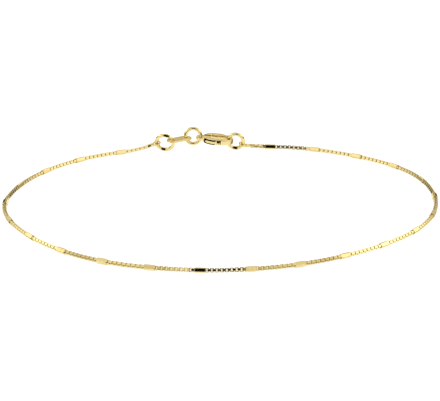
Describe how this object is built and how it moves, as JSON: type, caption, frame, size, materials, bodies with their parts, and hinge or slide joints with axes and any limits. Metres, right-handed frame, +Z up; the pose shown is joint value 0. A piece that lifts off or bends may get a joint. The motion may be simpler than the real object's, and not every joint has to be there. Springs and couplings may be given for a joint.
{
  "type": "chain bracelet",
  "caption": "Fine gold chain bracelet with small square bars along a box chain, jump rings, a flat tag and a lobster clasp, lying closed as an oval.",
  "frame": {"origin": "on the table, under the middle of the whole piece's box", "axes": "+X along the oval's length, +Y to the back, where the clasp is, +Z up from the table"},
  "size_m": [0.0684, 0.054, 0.0037],
  "materials": {
    "chain_gold": "polished yellow gold, pale",
    "ring_gold": "polished yellow gold, pale",
    "clasp_gold": "polished yellow gold, pale"
  },
  "bodies": {
    "bracelet": {"chain_stretch_01": "chain_gold", "chain_stretch_02": "chain_gold", "chain_stretch_03": "chain_gold", "chain_stretch_04": "chain_gold", "chain_stretch_05": "chain_gold", "chain_stretch_06": "chain_gold", "chain_stretch_07": "chain_gold", "chain_stretch_08": "chain_gold", "chain_stretch_09": "chain_gold", "chain_stretch_10": "chain_gold", "chain_stretch_11": "chain_gold", "chain_stretch_12": "chain_gold", "chain_stretch_13": "chain_gold", "chain_stretch_14": "chain_gold", "chain_stretch_15": "chain_gold", "chain_stretch_16": "chain_gold", "chain_stretch_17": "chain_gold", "chain_stretch_18": "chain_gold", "chain_stretch_19": "chain_gold", "chain_stretch_20": "chain_gold", "chain_stretch_21": "chain_gold", "chain_stretch_22": "chain_gold", "chain_stretch_23": "chain_gold", "chain_end_right": "chain_gold", "chain_end_left": "chain_gold", "ring_left": "ring_gold", "ring_middle": "ring_gold", "ring_right": "ring_gold", "tag": "ring_gold", "clasp_frame": "clasp_gold"},
    "lever": {"clasp_lever": "clasp_gold"}
  },
  "joints": [
    {"name": "lever_pivot", "type": "hinge", "parent": "bracelet", "child": "lever", "pos_m": [-0.00179, 0.02474, 0.00171], "axis": [0.0401, -0.1289, 0.9908], "range_deg": [0, 25], "stiffness_Nm_per_rad": 0.002}
  ]
}
